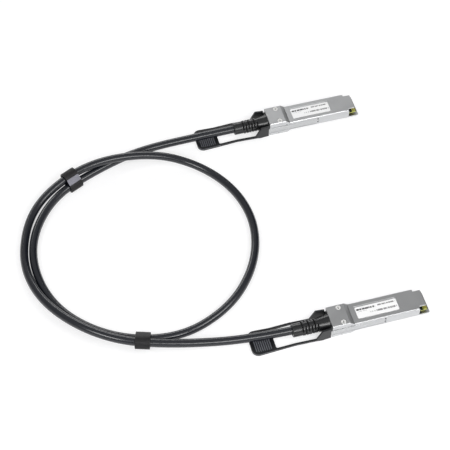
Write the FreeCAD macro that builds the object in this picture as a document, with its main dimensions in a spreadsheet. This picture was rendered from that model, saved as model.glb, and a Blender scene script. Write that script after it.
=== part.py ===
import FreeCAD, Part
import math
import os
from types import SimpleNamespace

import Sketcher

# Direct attach copper cable, in millimetres: two pluggable four-lane connectors joined by one round
# twinax cable, which lies in one and a half turns held by two ties.  Each connector is a two-part
# die-cast shell round a paddle card, with a rubber boot on the cable and a sprung pull tab that
# draws two latch arms back along the sides of the shell.
#
# The whole part stands on z = 0 with both noses to +X.  A plug's own frame has its origin at the
# foot of its rear face, midway between its sides.

SIZES = {
    # Where the two plugs lie
    "plug_a_x": -1.75,
    "plug_b_x": -14.05,
    "plug_spread": 100.5,            # each plug's distance from the middle, along Y
    # Shell, outside
    "plug_width": 18.35,
    "plug_length": 76.3,             # rear face to the front of the sill
    "rear_height": 13.5,
    "rear_top_length": 13.4,         # flat top behind the ramp
    "rear_foot_length": 14.5,        # flat underside behind the ramp
    "ramp_length": 3.5,
    "nose_drop": 2.5,                # rise of the underside at its ramp
    "nose_height": 8.5,
    "cover_length": 67.6,            # full-width part of the cover
    "wall_length": 68.0,             # side walls of the base
    "hood_reach": 5.6,               # hood ahead of the cover
    "hood_width": 13.7,
    "lead_in_length": 4.1,
    "lead_in_depth": 0.6,
    "edge_break": 0.4,
    "sill_corner": 1.0,
    "seam_dimple_height": 9.3,       # small round dimple under the step of the seam
    "foot_dimple_at": 7.6,
    "foot_dimple_height": 1.5,
    "dimple_diameter": 0.9,
    "dimple_depth": 0.75,
    # Shell, inside
    "cover_plate": 1.2,
    "rear_floor": 1.2,
    "nose_floor": 1.0,
    "rear_wall": 1.6,
    "side_wall": 1.4,
    "nose_side_wall": 0.875,
    "wide_room_start": 43.0,         # where the room widens for the card
    "seam_step_at": 14.4,
    "rear_seam_height": 10.9,
    "lip_width": 0.9,
    "lip_height": 0.8,
    "lip_start": 19.5,
    "lip_end": 42.0,
    "fit_clearance": 0.1,
    # Latch recess and spring pocket
    "recess_length": 41.8,
    "recess_foot": 3.0,
    "recess_height": 6.2,
    "recess_depth": 0.55,
    "spring_pocket_start": 19.0,
    "spring_pocket_length": 10.0,
    "spring_pocket_foot": 4.6,
    "spring_pocket_height": 2.8,
    "spring_pocket_depth": 1.925,
    "pocket_wall": 0.8,
    # Cover screws
    "screw_at": 9.0,
    "screw_spread": 6.5,             # each screw's distance from the middle
    "screw_diameter": 2.0,
    "screw_length": 7.5,
    "screw_head_diameter": 4.0,
    "screw_head_height": 0.85,
    "counterbore_depth": 1.0,
    "boss_diameter": 4.4,
    "drive_span": 2.4,
    "drive_slot": 0.55,
    "drive_depth": 0.5,
    # Label
    "label_start": 21.0,
    "label_length": 32.2,
    "label_width": 10.1,
    "label_offset": 0.35,            # the label lies this far towards -Y in its recess
    "label_thickness": 0.1,
    "label_corner": 1.0,
    "label_recess_start": 20.3,
    "label_recess_length": 33.6,
    "label_recess_width": 11.5,
    "label_recess_depth": 0.35,
    # Paddle card
    "card_start": 45.0,
    "card_length": 29.9,
    "card_width": 16.4,
    "card_thickness": 1.0,
    "card_height": 6.0,              # underside of the card
    "card_corner": 0.6,
    "ledge_start": 46.0,
    "ledge_length": 18.0,
    "ledge_width": 1.1,
    "post_at": 52.0,
    "post_spread": 7.75,
    "post_diameter": 1.2,
    "contact_pitch": 0.8,
    "contact_count": 19,
    "contact_width": 0.54,
    "contact_length": 2.6,
    "contact_setback": 0.7,
    "contact_thickness": 0.05,
    "chip_at": 57.0,
    "chip_length": 3.0,
    "chip_width": 4.4,
    "chip_height": 1.0,
    # Cable and what holds its end
    "cable_diameter": 6.4,
    "cable_axis_height": 6.75,
    "jacket_inset": 1.4,             # jacket's end ahead of the rear face
    "cable_lead_length": 52.5,       # first straight run behind the rear face
    "ferrule_length": 8.0,
    "ferrule_wall": 0.8,
    "ferrule_bore": 6.0,
    "saddle_start": 4.6,
    "saddle_length": 3.4,
    "saddle_width": 6.0,
    "saddle_grip": 1.6,              # how far a saddle reaches up the side of the ferrule
    "pair_diameter": 1.3,
    "pair_pitch": 1.4,               # between the pairs inside the ferrule
    "pair_row_gap": 0.75,            # each row's distance from the cable axis
    "pair_card_pitch": 3.9,          # between the pairs where they land on the card
    "pair_bend_start": 9.6,
    "pair_bend_end": 30.4,
    "pair_landing": 3.0,             # length of each pair that lies on the card
    # Boot
    "boot_length": 28.5,
    "boot_mouth_diameter": 10.0,
    "boot_root_diameter": 10.8,      # where the slots are
    "boot_flare_diameter": 13.0,
    "boot_core_diameter": 8.0,       # left under the slots
    "boot_slot_count": 6,
    "boot_slot_width": 1.05,
    "boot_slot_pitch": 2.36,
    "boot_slot_first": 8.6,
    "boot_slot_sweep": 140.0,        # degrees round the boot
    "boot_mouth_break": 0.5,
    "collar_thickness": 0.8,
    "collar_width": 16.8,
    "collar_height": 10.2,
    "collar_drop": 0.65,             # collar's middle below the cable axis
    "collar_corner": 2.0,
    "neck_width": 11.0,
    "neck_height": 9.0,
    "neck_corner": 2.5,
    "flange_width": 14.4,
    "flange_height": 10.4,
    "flange_thickness": 1.4,
    "flange_corner": 1.5,
    # Latch arms
    "arm_thickness": 0.4,
    "arm_front_gap": 1.2,            # from the arm's tip to the end of its recess
    "arm_rear_height": 4.8,
    "arm_front_height": 5.8,
    "arm_step_at": 17.0,
    "arm_tip_corner": 0.8,
    "arm_side_clearance": 0.2,
    "lug_thickness": 0.5,
    "lug_height": 2.2,
    "lug_clearance": 0.1,
    # Return springs
    "spring_diameter": 1.8,
    "spring_wire": 0.3,
    "spring_turns": 6,
    # Pull tab
    "tab_gap": 1.0,                  # rear face to the tab
    "tab_root_length": 6.8,
    "tab_root_foot": 0.2,
    "tab_root_height": 11.0,
    "tab_root_width": 18.6,
    "tab_root_room": 15.8,           # between the root plates
    "tab_slant_length": 4.4,
    "tab_width": 19.8,
    "tab_flare_at": 8.0,
    "strap_width": 1.4,
    "strap_height": 1.6,
    "strap_root_rise": 0.9,          # height of the strap's underside at the root plates
    "strap_rise": 1.6,               # and at the top of its arch
    "strap_bend": 30.0,              # radius at the top of the arch
    "tab_window_end": 42.6,
    "tab_length": 60.5,              # rear face to the end of the grip
    "grip_foot": 0.3,
    "grip_height": 2.0,
    "grip_width": 21.4,
    "grip_corner": 5.0,
    "grip_bend": 15.0,               # radius where the straps meet the grip
    "grip_rim": 1.5,
    "grip_web": 0.7,
    "window_corner": 1.0,
    "rib_pitch": 1.6,
    "rib_width": 0.75,
    "rib_height": 0.8,
    "rib_count": 8,
    "arm_socket_depth": 6.0,
    # Ties
    "tie_length": 9.0,
    "tie_wall": 0.45,
    "tie_clearance": 0.38,
    "tie_overlap": 4.5,
}

# Bends of the cable between its two straight leads, from plug A to plug B.
ROUTE = [
    (-108.5, 101.2, 4.7),
    (-146.0, 91.2, 3.7),
    (-189.0, 70.8, 4.8),
    (-215.4, 26.4, 3.5),
    (-209.5, -28.6, 3.4),
    (-173.5, -68.9, 4.3),
    (-124.5, -83.4, 4.2),
    (-81.0, -67.0, 3.3),
    (-52.5, -36.0, 3.4),
    (-39.5, 2.4, 3.4),
    (-44.5, 40.5, 3.3),
    (-65.6, 72.9, 3.8),
    (-100.5, 90.5, 10.5),
    (-150.6, 94.4, 10.6),
    (-191.0, 76.7, 6.1),
    (-212.3, 50.7, 3.6),
    (-222.6, 8.0, 4.6),
    (-210.5, -35.5, 8.3),
    (-174.5, -74.0, 9.9),
    (-126.0, -89.1, 6.2),
]

PLANES = {"x": "YZ_Plane", "y": "XZ_Plane", "z": "XY_Plane"}

SAME_LEVEL = 1e-4       # mm; nearer than this counts as one level
LEAST_CUT = 1e-3        # mm^3; a pocket that takes less cuts nothing
ARC_SHARE = 0.45        # of the shorter run, taken up by the arc at a bend
PAIR_SIDES = 8          # flat sides round a screened pair
SPRING_SIDES = 6        # flat sides round a spring's wire
RUNS_PER_TURN = 8       # straight runs in one turn of a spring


class Size:
    """A length that keeps both its expression in the sheet and its value."""

    def __init__(self, text, value):
        self.text = text
        self.value = value

    def join(self, sign, other, value):
        return Size("(%s %s %s)" % (self.text, sign, other.text), value)

    def __add__(self, other):
        other = as_size(other)
        return self.join("+", other, self.value + other.value)

    def __sub__(self, other):
        other = as_size(other)
        return self.join("-", other, self.value - other.value)

    def __mul__(self, other):
        other = as_size(other)
        return self.join("*", other, self.value * other.value)

    def __truediv__(self, other):
        other = as_size(other)
        return self.join("/", other, self.value / other.value)

    def __neg__(self):
        return as_size(0) - self

    def __float__(self):
        return float(self.value)


def as_size(number):
    """A plain number as a Size; a Size stays as it is."""
    return number if isinstance(number, Size) else Size("%g" % number, number)


def fill_sheet(doc):
    """Write the driving dimensions to the sheet, and return them by name."""
    sheet = doc.addObject("Spreadsheet::Sheet", "Sizes")
    for row, (name, value) in enumerate(SIZES.items(), start=1):
        sheet.set("A%d" % row, name)
        sheet.set("B%d" % row, str(value))
        sheet.setAlias("B%d" % row, name)
    doc.recompute()
    return SimpleNamespace(**{name: Size("Sizes." + name, value) for name, value in SIZES.items()})


def derive(dim):
    """Levels that several pieces share, in a plug's own frame."""
    dim.side = dim.plug_width / 2
    dim.nose_top = dim.nose_drop + dim.nose_height
    dim.ramp_foot = dim.rear_top_length + dim.ramp_length
    dim.nose_seam = dim.nose_top - dim.cover_plate
    dim.room_side = dim.side - dim.side_wall
    dim.wide_room_side = dim.side - dim.nose_side_wall
    dim.rear_roof = dim.rear_height - dim.cover_plate
    dim.inner_nose_floor = dim.nose_drop + dim.nose_floor
    dim.recess_side = dim.side - dim.recess_depth
    dim.recess_top = dim.recess_foot + dim.recess_height
    dim.pocket_side = dim.recess_side - dim.spring_pocket_depth
    dim.pocket_end = dim.spring_pocket_start + dim.spring_pocket_length
    dim.pocket_top = dim.spring_pocket_foot + dim.spring_pocket_height
    dim.spring_axis_height = dim.spring_pocket_foot + dim.spring_pocket_height / 2
    dim.head_seat = dim.rear_height - dim.counterbore_depth
    dim.card_top = dim.card_height + dim.card_thickness
    dim.card_front = dim.card_start + dim.card_length
    dim.ledge_end = dim.ledge_start + dim.ledge_length
    dim.ferrule_diameter = dim.ferrule_bore + dim.ferrule_wall * 2
    dim.arm_inner = dim.recess_side + dim.fit_clearance
    dim.arm_outer = dim.arm_inner + dim.arm_thickness
    dim.arm_foot = dim.recess_foot + dim.arm_side_clearance
    dim.arm_tail = dim.tab_gap + dim.arm_socket_depth
    dim.arm_front = dim.recess_length - dim.arm_front_gap
    dim.lug_front = dim.pocket_end - dim.lug_clearance
    dim.lug_rear = dim.lug_front - dim.lug_thickness


# ---------------------------------------------------------------------------------------------
# Sketches and features


def set_coordinates(sketch, constraints, bound, geometry, point, u, v):
    """Hold one point of a sketch at (u, v)."""
    for kind, axis_line, size in (("DistanceX", -2, u), ("DistanceY", -1, v)):
        if size.text == "0":
            constraints.append(Sketcher.Constraint("PointOnObject", geometry, point, axis_line))
            continue
        bound.append((sketch.ConstraintCount + len(constraints), size.text))
        constraints.append(Sketcher.Constraint(kind, -1, 1, geometry, point, size.value))


def finish(sketch, constraints, bound):
    sketch.addConstraint(constraints)
    for index, text in bound:
        sketch.setExpression("Constraints[%d]" % index, text)


def circle(u, v, radius):
    """An outline for extrude and revolve: one circle."""
    u, v, radius = as_size(u), as_size(v), as_size(radius)

    def draw(sketch):
        centre = FreeCAD.Vector(u.value, v.value, 0)
        index = sketch.addGeometry(Part.Circle(centre, FreeCAD.Vector(0, 0, 1), radius.value))
        constraints, bound = [], []
        set_coordinates(sketch, constraints, bound, index, 3, u, v)
        bound.append((sketch.ConstraintCount + len(constraints), radius.text))
        constraints.append(Sketcher.Constraint("Radius", index, radius.value))
        finish(sketch, constraints, bound)

    return draw


def polygon(*corners):
    """An outline of straight sides; a corner is (u, v), or (u, v, radius) where it is rounded."""
    places = [tuple(as_size(value) for value in corner) for corner in corners]

    def draw(sketch):
        count = len(places)
        points = [FreeCAD.Vector(place[0].value, place[1].value, 0) for place in places]
        starts, ends = list(points), list(points)
        arcs = {}
        for index, place in enumerate(places):
            if len(place) == 3:
                before, here, after = points[index - 1], points[index], points[(index + 1) % count]
                arcs[index] = corner_arc(before, here, after, place[2].value)
                ends[index], starts[index] = arcs[index][1:3]
        lines = [sketch.addGeometry(Part.LineSegment(starts[n], ends[(n + 1) % count]))
                 for n in range(count)]
        constraints, bound = [], []
        for index, place in enumerate(places):
            before, after = lines[index - 1], lines[index]
            if index not in arcs:
                constraints.append(Sketcher.Constraint("Coincident", before, 2, after, 1))
                set_coordinates(sketch, constraints, bound, after, 1, place[0], place[1])
                continue
            arc = sketch.addGeometry(arcs[index][0])
            first, last = (1, 2) if arcs[index][3] else (2, 1)
            corner = sketch.addGeometry(Part.Point(points[index]), True)
            set_coordinates(sketch, constraints, bound, corner, 1, place[0], place[1])
            constraints.append(Sketcher.Constraint("PointOnObject", corner, 1, before))
            constraints.append(Sketcher.Constraint("PointOnObject", corner, 1, after))
            constraints.append(Sketcher.Constraint("Tangent", before, 2, arc, first))
            constraints.append(Sketcher.Constraint("Tangent", arc, last, after, 1))
            bound.append((sketch.ConstraintCount + len(constraints), place[2].text))
            constraints.append(Sketcher.Constraint("Radius", arc, place[2].value))
        finish(sketch, constraints, bound)

    return draw


def corner_arc(before, here, after, radius):
    """The arc that rounds a corner: (arc, its entry, its exit, whether it runs anticlockwise)."""
    back = (before - here).normalize()
    ahead = (after - here).normalize()
    half = back.getAngle(ahead) / 2
    entry = here + back * (radius / math.tan(half))
    exit_point = here + ahead * (radius / math.tan(half))
    centre = here + (back + ahead).normalize() * (radius / math.sin(half))
    anticlockwise = back.cross(ahead).z < 0
    start, end = (entry, exit_point) if anticlockwise else (exit_point, entry)
    angles = [math.atan2(point.y - centre.y, point.x - centre.x) for point in (start, end)]
    ring = Part.Circle(centre, FreeCAD.Vector(0, 0, 1), radius)
    return Part.ArcOfCircle(ring, angles[0], angles[1]), entry, exit_point, anticlockwise


def box(u_low, u_high, v_low, v_high, *radius):
    """A rectangular outline, with rounded corners if a radius is given."""
    corners = ((u_low, v_low), (u_high, v_low), (u_high, v_high), (u_low, v_high))
    return polygon(*(corner + radius for corner in corners))


def new_body(doc, label):
    body = doc.addObject("PartDesign::Body", label)
    body.Label = label
    body.AllowCompound = True
    return body


def new_sketch(body, axis, level, outlines):
    """A sketch across one axis of the body, at a level along that axis."""
    sketch = body.newObject("Sketcher::SketchObject", "Outline")
    plane = next(item for item in body.Origin.OriginFeatures if item.Role == PLANES[axis])
    sketch.AttachmentSupport = [(plane, "")]
    sketch.MapMode = "FlatFace"
    # The xz plane faces -Y.
    along = -level if axis == "y" else level
    sketch.setExpression("AttachmentOffset.Base.z", along.text)
    for outline in outlines:
        outline(sketch)
    return sketch


def extrude(body, kind, axis, low, high, *outlines):
    """Pad or pocket outlines between two levels along one axis of the body."""
    low, high = as_size(low), as_size(high)
    # A pocket cuts against the way its plane faces, and the xz plane faces -Y.
    from_high = (axis == "y") != (kind == "Pocket")
    sketch = new_sketch(body, axis, high if from_high else low, outlines)
    feature = body.newObject("PartDesign::" + kind, kind)
    feature.Profile = (sketch, [""])
    feature.setExpression("Length", (high - low).text)
    return feature


def revolve(body, kind, axis, level, line, angle, *outlines):
    """Revolve outlines about a sketch's own H_Axis or V_Axis, evenly to both sides of the sketch."""
    sketch = new_sketch(body, axis, as_size(level), outlines)
    feature = body.newObject("PartDesign::" + kind, kind)
    feature.Profile = (sketch, [""])
    feature.ReferenceAxis = (sketch, [line])
    feature.Midplane = True
    feature.setExpression("Angle", as_size(angle).text)
    return feature


def dress(body, kind, size, *tests):
    """Fillet or chamfer the body's edges that pass any of the tests."""
    body.Document.recompute()
    base = body.Tip
    names = ["Edge%d" % number for number, edge in enumerate(base.Shape.Edges, start=1)
             if any(test(edge) for test in tests)]
    feature = body.newObject("PartDesign::" + kind, kind)
    feature.Base = (base, names)
    feature.setExpression("Radius" if kind == "Fillet" else "Size", as_size(size).text)
    return feature


def lies(**levels):
    """A test for an edge that lies wholly at the given levels, such as x=0, z=5."""

    def test(edge):
        limits = {"x": (edge.BoundBox.XMin, edge.BoundBox.XMax),
                  "y": (edge.BoundBox.YMin, edge.BoundBox.YMax),
                  "z": (edge.BoundBox.ZMin, edge.BoundBox.ZMax)}
        return all(abs(limit - float(level)) < SAME_LEVEL
                   for axis, level in levels.items() for limit in limits[axis])

    return test


def place(item, x, y, z):
    """Bind the piece's place in the whole part."""
    for axis, size in zip("xyz", (x, y, z)):
        item.setExpression("Placement.Base." + axis, as_size(size).text)


def both_sides(low, high):
    """The two ranges along Y, left then right, that mirror each other."""
    return (low, high), (-high, -low)


# ---------------------------------------------------------------------------------------------
# Shells


def boot_opening(body, dim):
    """The rounded opening in the rear wall that the neck of the boot passes."""
    half_width = dim.neck_width / 2
    middle = dim.cable_axis_height
    half_height = dim.neck_height / 2
    extrude(body, "Pocket", "x", 0, dim.rear_wall,
            box(-half_width, half_width, middle - half_height, middle + half_height,
                dim.neck_corner))


def saddle(body, dim, low, high):
    """A rib across the shell that cradles the ferrule."""
    extrude(body, "Pad", "x", dim.saddle_start, dim.saddle_start + dim.saddle_length,
            box(-dim.saddle_width / 2, dim.saddle_width / 2, low, high))
    extrude(body, "Pocket", "x", dim.saddle_start, dim.saddle_start + dim.saddle_length,
            circle(0, dim.cable_axis_height, dim.ferrule_diameter / 2 + dim.fit_clearance))


def top_shell(doc, dim, label):
    """The cover: a plate with a raised rear, a hood over the contacts and a sunk label field."""
    body = new_body(doc, label)
    extrude(body, "Pad", "y", -dim.side, dim.side,
            polygon((0, dim.rear_seam_height), (dim.seam_step_at, dim.rear_seam_height),
                    (dim.seam_step_at, dim.nose_seam), (dim.cover_length, dim.nose_seam),
                    (dim.cover_length, dim.nose_top), (dim.ramp_foot, dim.nose_top),
                    (dim.rear_top_length, dim.rear_height), (0, dim.rear_height)))
    dress(body, "Chamfer", dim.edge_break,
          lies(y=dim.side, z=dim.rear_height), lies(y=-dim.side, z=dim.rear_height),
          lies(y=dim.side, z=dim.nose_top), lies(y=-dim.side, z=dim.nose_top),
          lies(x=0, z=dim.rear_height))
    extrude(body, "Pad", "z", dim.nose_seam, dim.nose_top,
            box(dim.cover_length, dim.cover_length + dim.hood_reach,
                -dim.hood_width / 2, dim.hood_width / 2))
    lead_start = dim.cover_length - dim.lead_in_length
    lead_side = dim.side - dim.lead_in_depth
    extrude(body, "Pocket", "z", dim.nose_seam, dim.nose_top,
            polygon((lead_start, dim.side), (dim.cover_length, lead_side),
                    (dim.cover_length, dim.side)),
            polygon((lead_start, -dim.side), (dim.cover_length, -dim.side),
                    (dim.cover_length, -lead_side)))
    extrude(body, "Pocket", "y", -dim.room_side, dim.room_side,
            polygon((dim.rear_wall, dim.nose_seam), (dim.ramp_foot, dim.nose_seam),
                    (dim.rear_top_length, dim.rear_roof), (dim.rear_wall, dim.rear_roof)))
    boot_opening(body, dim)
    saddle(body, dim, dim.cable_axis_height + dim.ferrule_diameter / 2 - dim.saddle_grip,
           dim.rear_roof)
    screw_posts(body, dim, dim.rear_seam_height, dim.rear_roof)
    screw_holes(body, dim, dim.rear_seam_height, dim.rear_height,
                dim.screw_diameter / 2 + dim.fit_clearance)
    screw_holes(body, dim, dim.head_seat, dim.rear_height,
                dim.screw_head_diameter / 2 + dim.fit_clearance * 2)
    for low, high in both_sides(dim.room_side - dim.fit_clearance - dim.lip_width,
                                dim.room_side - dim.fit_clearance):
        extrude(body, "Pad", "z", dim.nose_seam - dim.lip_height, dim.nose_seam,
                box(dim.lip_start, dim.lip_end, low, high))
    for low, high in both_sides(dim.card_width / 2 - dim.lip_width, dim.card_width / 2):
        extrude(body, "Pad", "z", dim.card_top, dim.nose_seam,
                box(dim.ledge_start, dim.ledge_end, low, high))
    extrude(body, "Pocket", "z", dim.nose_top - dim.label_recess_depth, dim.nose_top,
            box(dim.label_recess_start, dim.label_recess_start + dim.label_recess_length,
                -dim.label_recess_width / 2, dim.label_recess_width / 2, dim.label_corner))
    return body


def screw_posts(body, dim, low, high):
    """The two round bosses that meet at the seam, one each side of the cable."""
    extrude(body, "Pad", "z", low, high,
            circle(dim.screw_at, dim.screw_spread, dim.boss_diameter / 2),
            circle(dim.screw_at, -dim.screw_spread, dim.boss_diameter / 2))


def screw_holes(body, dim, low, high, radius):
    extrude(body, "Pocket", "z", low, high,
            circle(dim.screw_at, dim.screw_spread, radius),
            circle(dim.screw_at, -dim.screw_spread, radius))


def bottom_shell(doc, dim, label):
    """The base: a tray with the latch recesses, spring pockets and card ledges, and a front sill."""
    body = new_body(doc, label)
    foot_ramp_end = dim.rear_foot_length + dim.ramp_length
    extrude(body, "Pad", "y", -dim.side, dim.side,
            polygon((0, 0), (dim.rear_foot_length, 0), (foot_ramp_end, dim.nose_drop),
                    (dim.plug_length, dim.nose_drop), (dim.plug_length, dim.inner_nose_floor),
                    (dim.wall_length, dim.inner_nose_floor), (dim.wall_length, dim.nose_seam),
                    (dim.seam_step_at, dim.nose_seam), (dim.seam_step_at, dim.rear_seam_height),
                    (0, dim.rear_seam_height)))
    dress(body, "Chamfer", dim.edge_break,
          lies(x=0, y=dim.side), lies(x=0, y=-dim.side), lies(x=0, z=0),
          lies(y=dim.side, z=0), lies(y=-dim.side, z=0))
    dress(body, "Fillet", dim.sill_corner,
          lies(x=dim.plug_length, y=dim.side), lies(x=dim.plug_length, y=-dim.side))
    extrude(body, "Pocket", "y", -dim.room_side, dim.room_side,
            polygon((dim.rear_wall, dim.rear_floor), (dim.rear_foot_length, dim.rear_floor),
                    (foot_ramp_end, dim.inner_nose_floor),
                    (dim.wall_length, dim.inner_nose_floor), (dim.wall_length, dim.rear_height),
                    (dim.rear_wall, dim.rear_height)))
    extrude(body, "Pocket", "y", -dim.wide_room_side, dim.wide_room_side,
            box(dim.wide_room_start, dim.wall_length, dim.inner_nose_floor, dim.rear_height))
    boot_opening(body, dim)
    saddle(body, dim, dim.rear_floor,
           dim.cable_axis_height - dim.ferrule_diameter / 2 + dim.saddle_grip)
    screw_posts(body, dim, dim.rear_floor, dim.rear_seam_height)
    screw_holes(body, dim, dim.head_seat - dim.screw_length - dim.fit_clearance,
                dim.rear_seam_height, dim.screw_diameter / 2 + dim.fit_clearance / 2)
    for low, high in both_sides(dim.pocket_side - dim.pocket_wall, dim.room_side):
        extrude(body, "Pad", "y", low, high,
                box(dim.spring_pocket_start - dim.pocket_wall, dim.pocket_end + dim.pocket_wall,
                    dim.inner_nose_floor, dim.pocket_top + dim.pocket_wall))
    for low, high in both_sides(dim.recess_side, dim.side):
        extrude(body, "Pocket", "y", low, high,
                box(0, dim.recess_length, dim.recess_foot, dim.recess_top))
    for low, high in both_sides(dim.pocket_side, dim.recess_side):
        extrude(body, "Pocket", "y", low, high,
                box(dim.spring_pocket_start, dim.pocket_end, dim.spring_pocket_foot,
                    dim.pocket_top))
    for low, high in both_sides(dim.side - dim.dimple_depth, dim.side):
        extrude(body, "Pocket", "y", low, high,
                circle(dim.seam_step_at, dim.seam_dimple_height, dim.dimple_diameter / 2),
                circle(dim.foot_dimple_at, dim.foot_dimple_height, dim.dimple_diameter / 2))
    for low, high in both_sides(dim.wide_room_side - dim.ledge_width, dim.wide_room_side):
        extrude(body, "Pad", "z", dim.inner_nose_floor, dim.card_height,
                box(dim.ledge_start, dim.ledge_end, low, high))
    extrude(body, "Pad", "z", dim.card_height, dim.card_top,
            circle(dim.post_at, dim.post_spread, dim.post_diameter / 2),
            circle(dim.post_at, -dim.post_spread, dim.post_diameter / 2))
    return body


# ---------------------------------------------------------------------------------------------
# Inside the shells


def paddle_card(doc, dim, label):
    """The circuit card, notched round the two posts that place it."""
    body = new_body(doc, label)
    half = dim.card_width / 2
    extrude(body, "Pad", "z", dim.card_height, dim.card_top,
            box(dim.card_start, dim.card_front, -half, half))
    dress(body, "Chamfer", dim.card_corner,
          lies(x=dim.card_front, y=half), lies(x=dim.card_front, y=-half))
    notch = dim.post_diameter / 2 + dim.fit_clearance
    for low, high in both_sides(dim.post_spread - notch, half):
        extrude(body, "Pocket", "z", dim.card_height, dim.card_top,
                box(dim.post_at - notch, dim.post_at + notch, low, high))
    return body


def contact_pads(doc, dim, label):
    """Gold contact fingers along the card's front edge, one row on each face."""
    body = new_body(doc, label)
    front = dim.card_front - dim.contact_setback
    first = -dim.contact_pitch * (dim.contact_count - 1) / 2
    finger = box(front - dim.contact_length, front, first - dim.contact_width / 2,
                 first + dim.contact_width / 2)
    rows = [extrude(body, "Pad", "z", dim.card_top, dim.card_top + dim.contact_thickness, finger),
            extrude(body, "Pad", "z", dim.card_height - dim.contact_thickness, dim.card_height,
                    finger)]
    doc.recompute()
    pattern = body.newObject("PartDesign::LinearPattern", "Row")
    pattern.Originals = rows
    pattern.Direction = (rows[0].Profile[0], ["V_Axis"])
    pattern.setExpression("Length", (dim.contact_pitch * (dim.contact_count - 1)).text)
    pattern.setExpression("Occurrences", dim.contact_count.text)
    body.Tip = pattern
    return body


def memory_chip(doc, dim, label):
    """The module's memory, on top of the card."""
    chip = doc.addObject("Part::Box", label)
    chip.Label = label
    chip.setExpression("Length", dim.chip_length.text)
    chip.setExpression("Width", dim.chip_width.text)
    chip.setExpression("Height", dim.chip_height.text)
    return chip


def crimp_ferrule(doc, dim, label):
    """The ring crimped on the cable's screen, in front of the jacket."""
    body = new_body(doc, label)
    extrude(body, "Pad", "x", dim.jacket_inset, dim.jacket_inset + dim.ferrule_length,
            circle(0, 0, dim.ferrule_diameter / 2), circle(0, 0, dim.ferrule_bore / 2))
    return body


def wire(points, radius, sides):
    """A solid with mitred corners along straight runs, with a section of so many flat sides."""
    frame = FreeCAD.Rotation(FreeCAD.Vector(0, 0, 1), points[1] - points[0])
    corners = []
    for corner in range(sides + 1):
        angle = 2 * math.pi * corner / sides
        spoke = FreeCAD.Vector(radius * math.cos(angle), radius * math.sin(angle), 0)
        corners.append(points[0] + frame.multVec(spoke))
    return Part.makePolygon(points).makePipeShell([Part.makePolygon(corners)], True, False, 1)


def tube(points, diameter):
    """A round solid along straight runs joined by arcs as large as the runs allow."""
    edges = []
    radii = []
    here = points[0]
    for before, corner, after in zip(points, points[1:], points[2:]):
        back, ahead = before - corner, after - corner
        turn = math.pi - back.getAngle(ahead)
        cut = ARC_SHARE * min(back.Length, ahead.Length)
        radii.append(cut / math.tan(turn / 2))
        entry = corner + back.normalize() * cut
        leave = corner + ahead.normalize() * cut
        middle = (entry + leave) / 2
        radius = radii[-1]
        centre = corner + (middle - corner).normalize() * math.hypot(radius, cut)
        apex = centre + (corner - centre).normalize() * radius
        edges.append(Part.LineSegment(here, entry).toShape())
        edges.append(Part.Arc(entry, apex, leave).toShape())
        here = leave
    edges.append(Part.LineSegment(here, points[-1]).toShape())
    path = Part.Wire(edges)
    ring = Part.Wire(Part.Circle(points[0], points[1] - points[0], diameter / 2).toShape())
    solid = path.makePipeShell([ring], True, False)
    share = solid.Volume / (path.Length * math.pi * diameter ** 2 / 4)
    if not 0.99 < share < 1.01:
        raise ValueError("A tube's volume is %.3f of its section times its length" % share)
    return solid, radii, path.Length


def twinax_pairs(doc, dim, label):
    """Eight screened pairs that fan out from the ferrule to both faces of the card."""
    radius = float(dim.pair_diameter) / 2
    clearance = float(dim.fit_clearance) / 2
    axis = float(dim.cable_axis_height)
    solids = []
    for lane in (-1.5, -0.5, 0.5, 1.5):
        for row, landing in ((1, float(dim.card_top) + radius + clearance),
                             (-1, float(dim.card_height) - radius - clearance)):
            rear_y = lane * float(dim.pair_pitch)
            front_y = lane * float(dim.pair_card_pitch)
            rear_z = axis + row * float(dim.pair_row_gap)
            reach = float(dim.pair_bend_start), float(dim.pair_bend_start + dim.pair_bend_end)
            points = [FreeCAD.Vector(float(dim.jacket_inset), rear_y, rear_z),
                      FreeCAD.Vector(reach[0], rear_y, rear_z),
                      FreeCAD.Vector(reach[1], front_y, landing),
                      FreeCAD.Vector(float(dim.card_start + dim.pair_landing), front_y, landing)]
            solids.append(wire(points, radius, PAIR_SIDES))
    pairs = doc.addObject("Part::Feature", label)
    pairs.Label = label
    pairs.Shape = Part.makeCompound(solids)
    return pairs


# ---------------------------------------------------------------------------------------------
# On the shells


def cover_screws(doc, dim, label):
    """Two cross-drive screws, from above through the cover into the base."""
    body = new_body(doc, label)
    shank = dim.screw_diameter / 2
    head = dim.screw_head_diameter / 2
    tip = dim.head_seat - dim.screw_length
    top = dim.head_seat + dim.screw_head_height
    arm = dim.drive_span / 2
    slot = dim.drive_slot / 2
    for spread in (-dim.screw_spread, dim.screw_spread):
        revolve(body, "Revolution", "y", spread, "V_Axis", 360,
                polygon((0, tip), (shank, tip), (shank, dim.head_seat), (head, dim.head_seat),
                        (head, top), (0, top)))
        for long, wide in ((arm, slot), (slot, arm)):
            extrude(body, "Pocket", "z", top - dim.drive_depth, top,
                    box(-long, long, spread - wide, spread + wide))
    return body


def label_sheet(doc, dim, label):
    """The blank label on the cover."""
    body = new_body(doc, label)
    level = dim.nose_top - dim.label_recess_depth
    extrude(body, "Pad", "z", level, level + dim.label_thickness,
            box(dim.label_start, dim.label_start + dim.label_length,
                -dim.label_width / 2 - dim.label_offset, dim.label_width / 2 - dim.label_offset,
                dim.label_corner))
    return body


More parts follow.
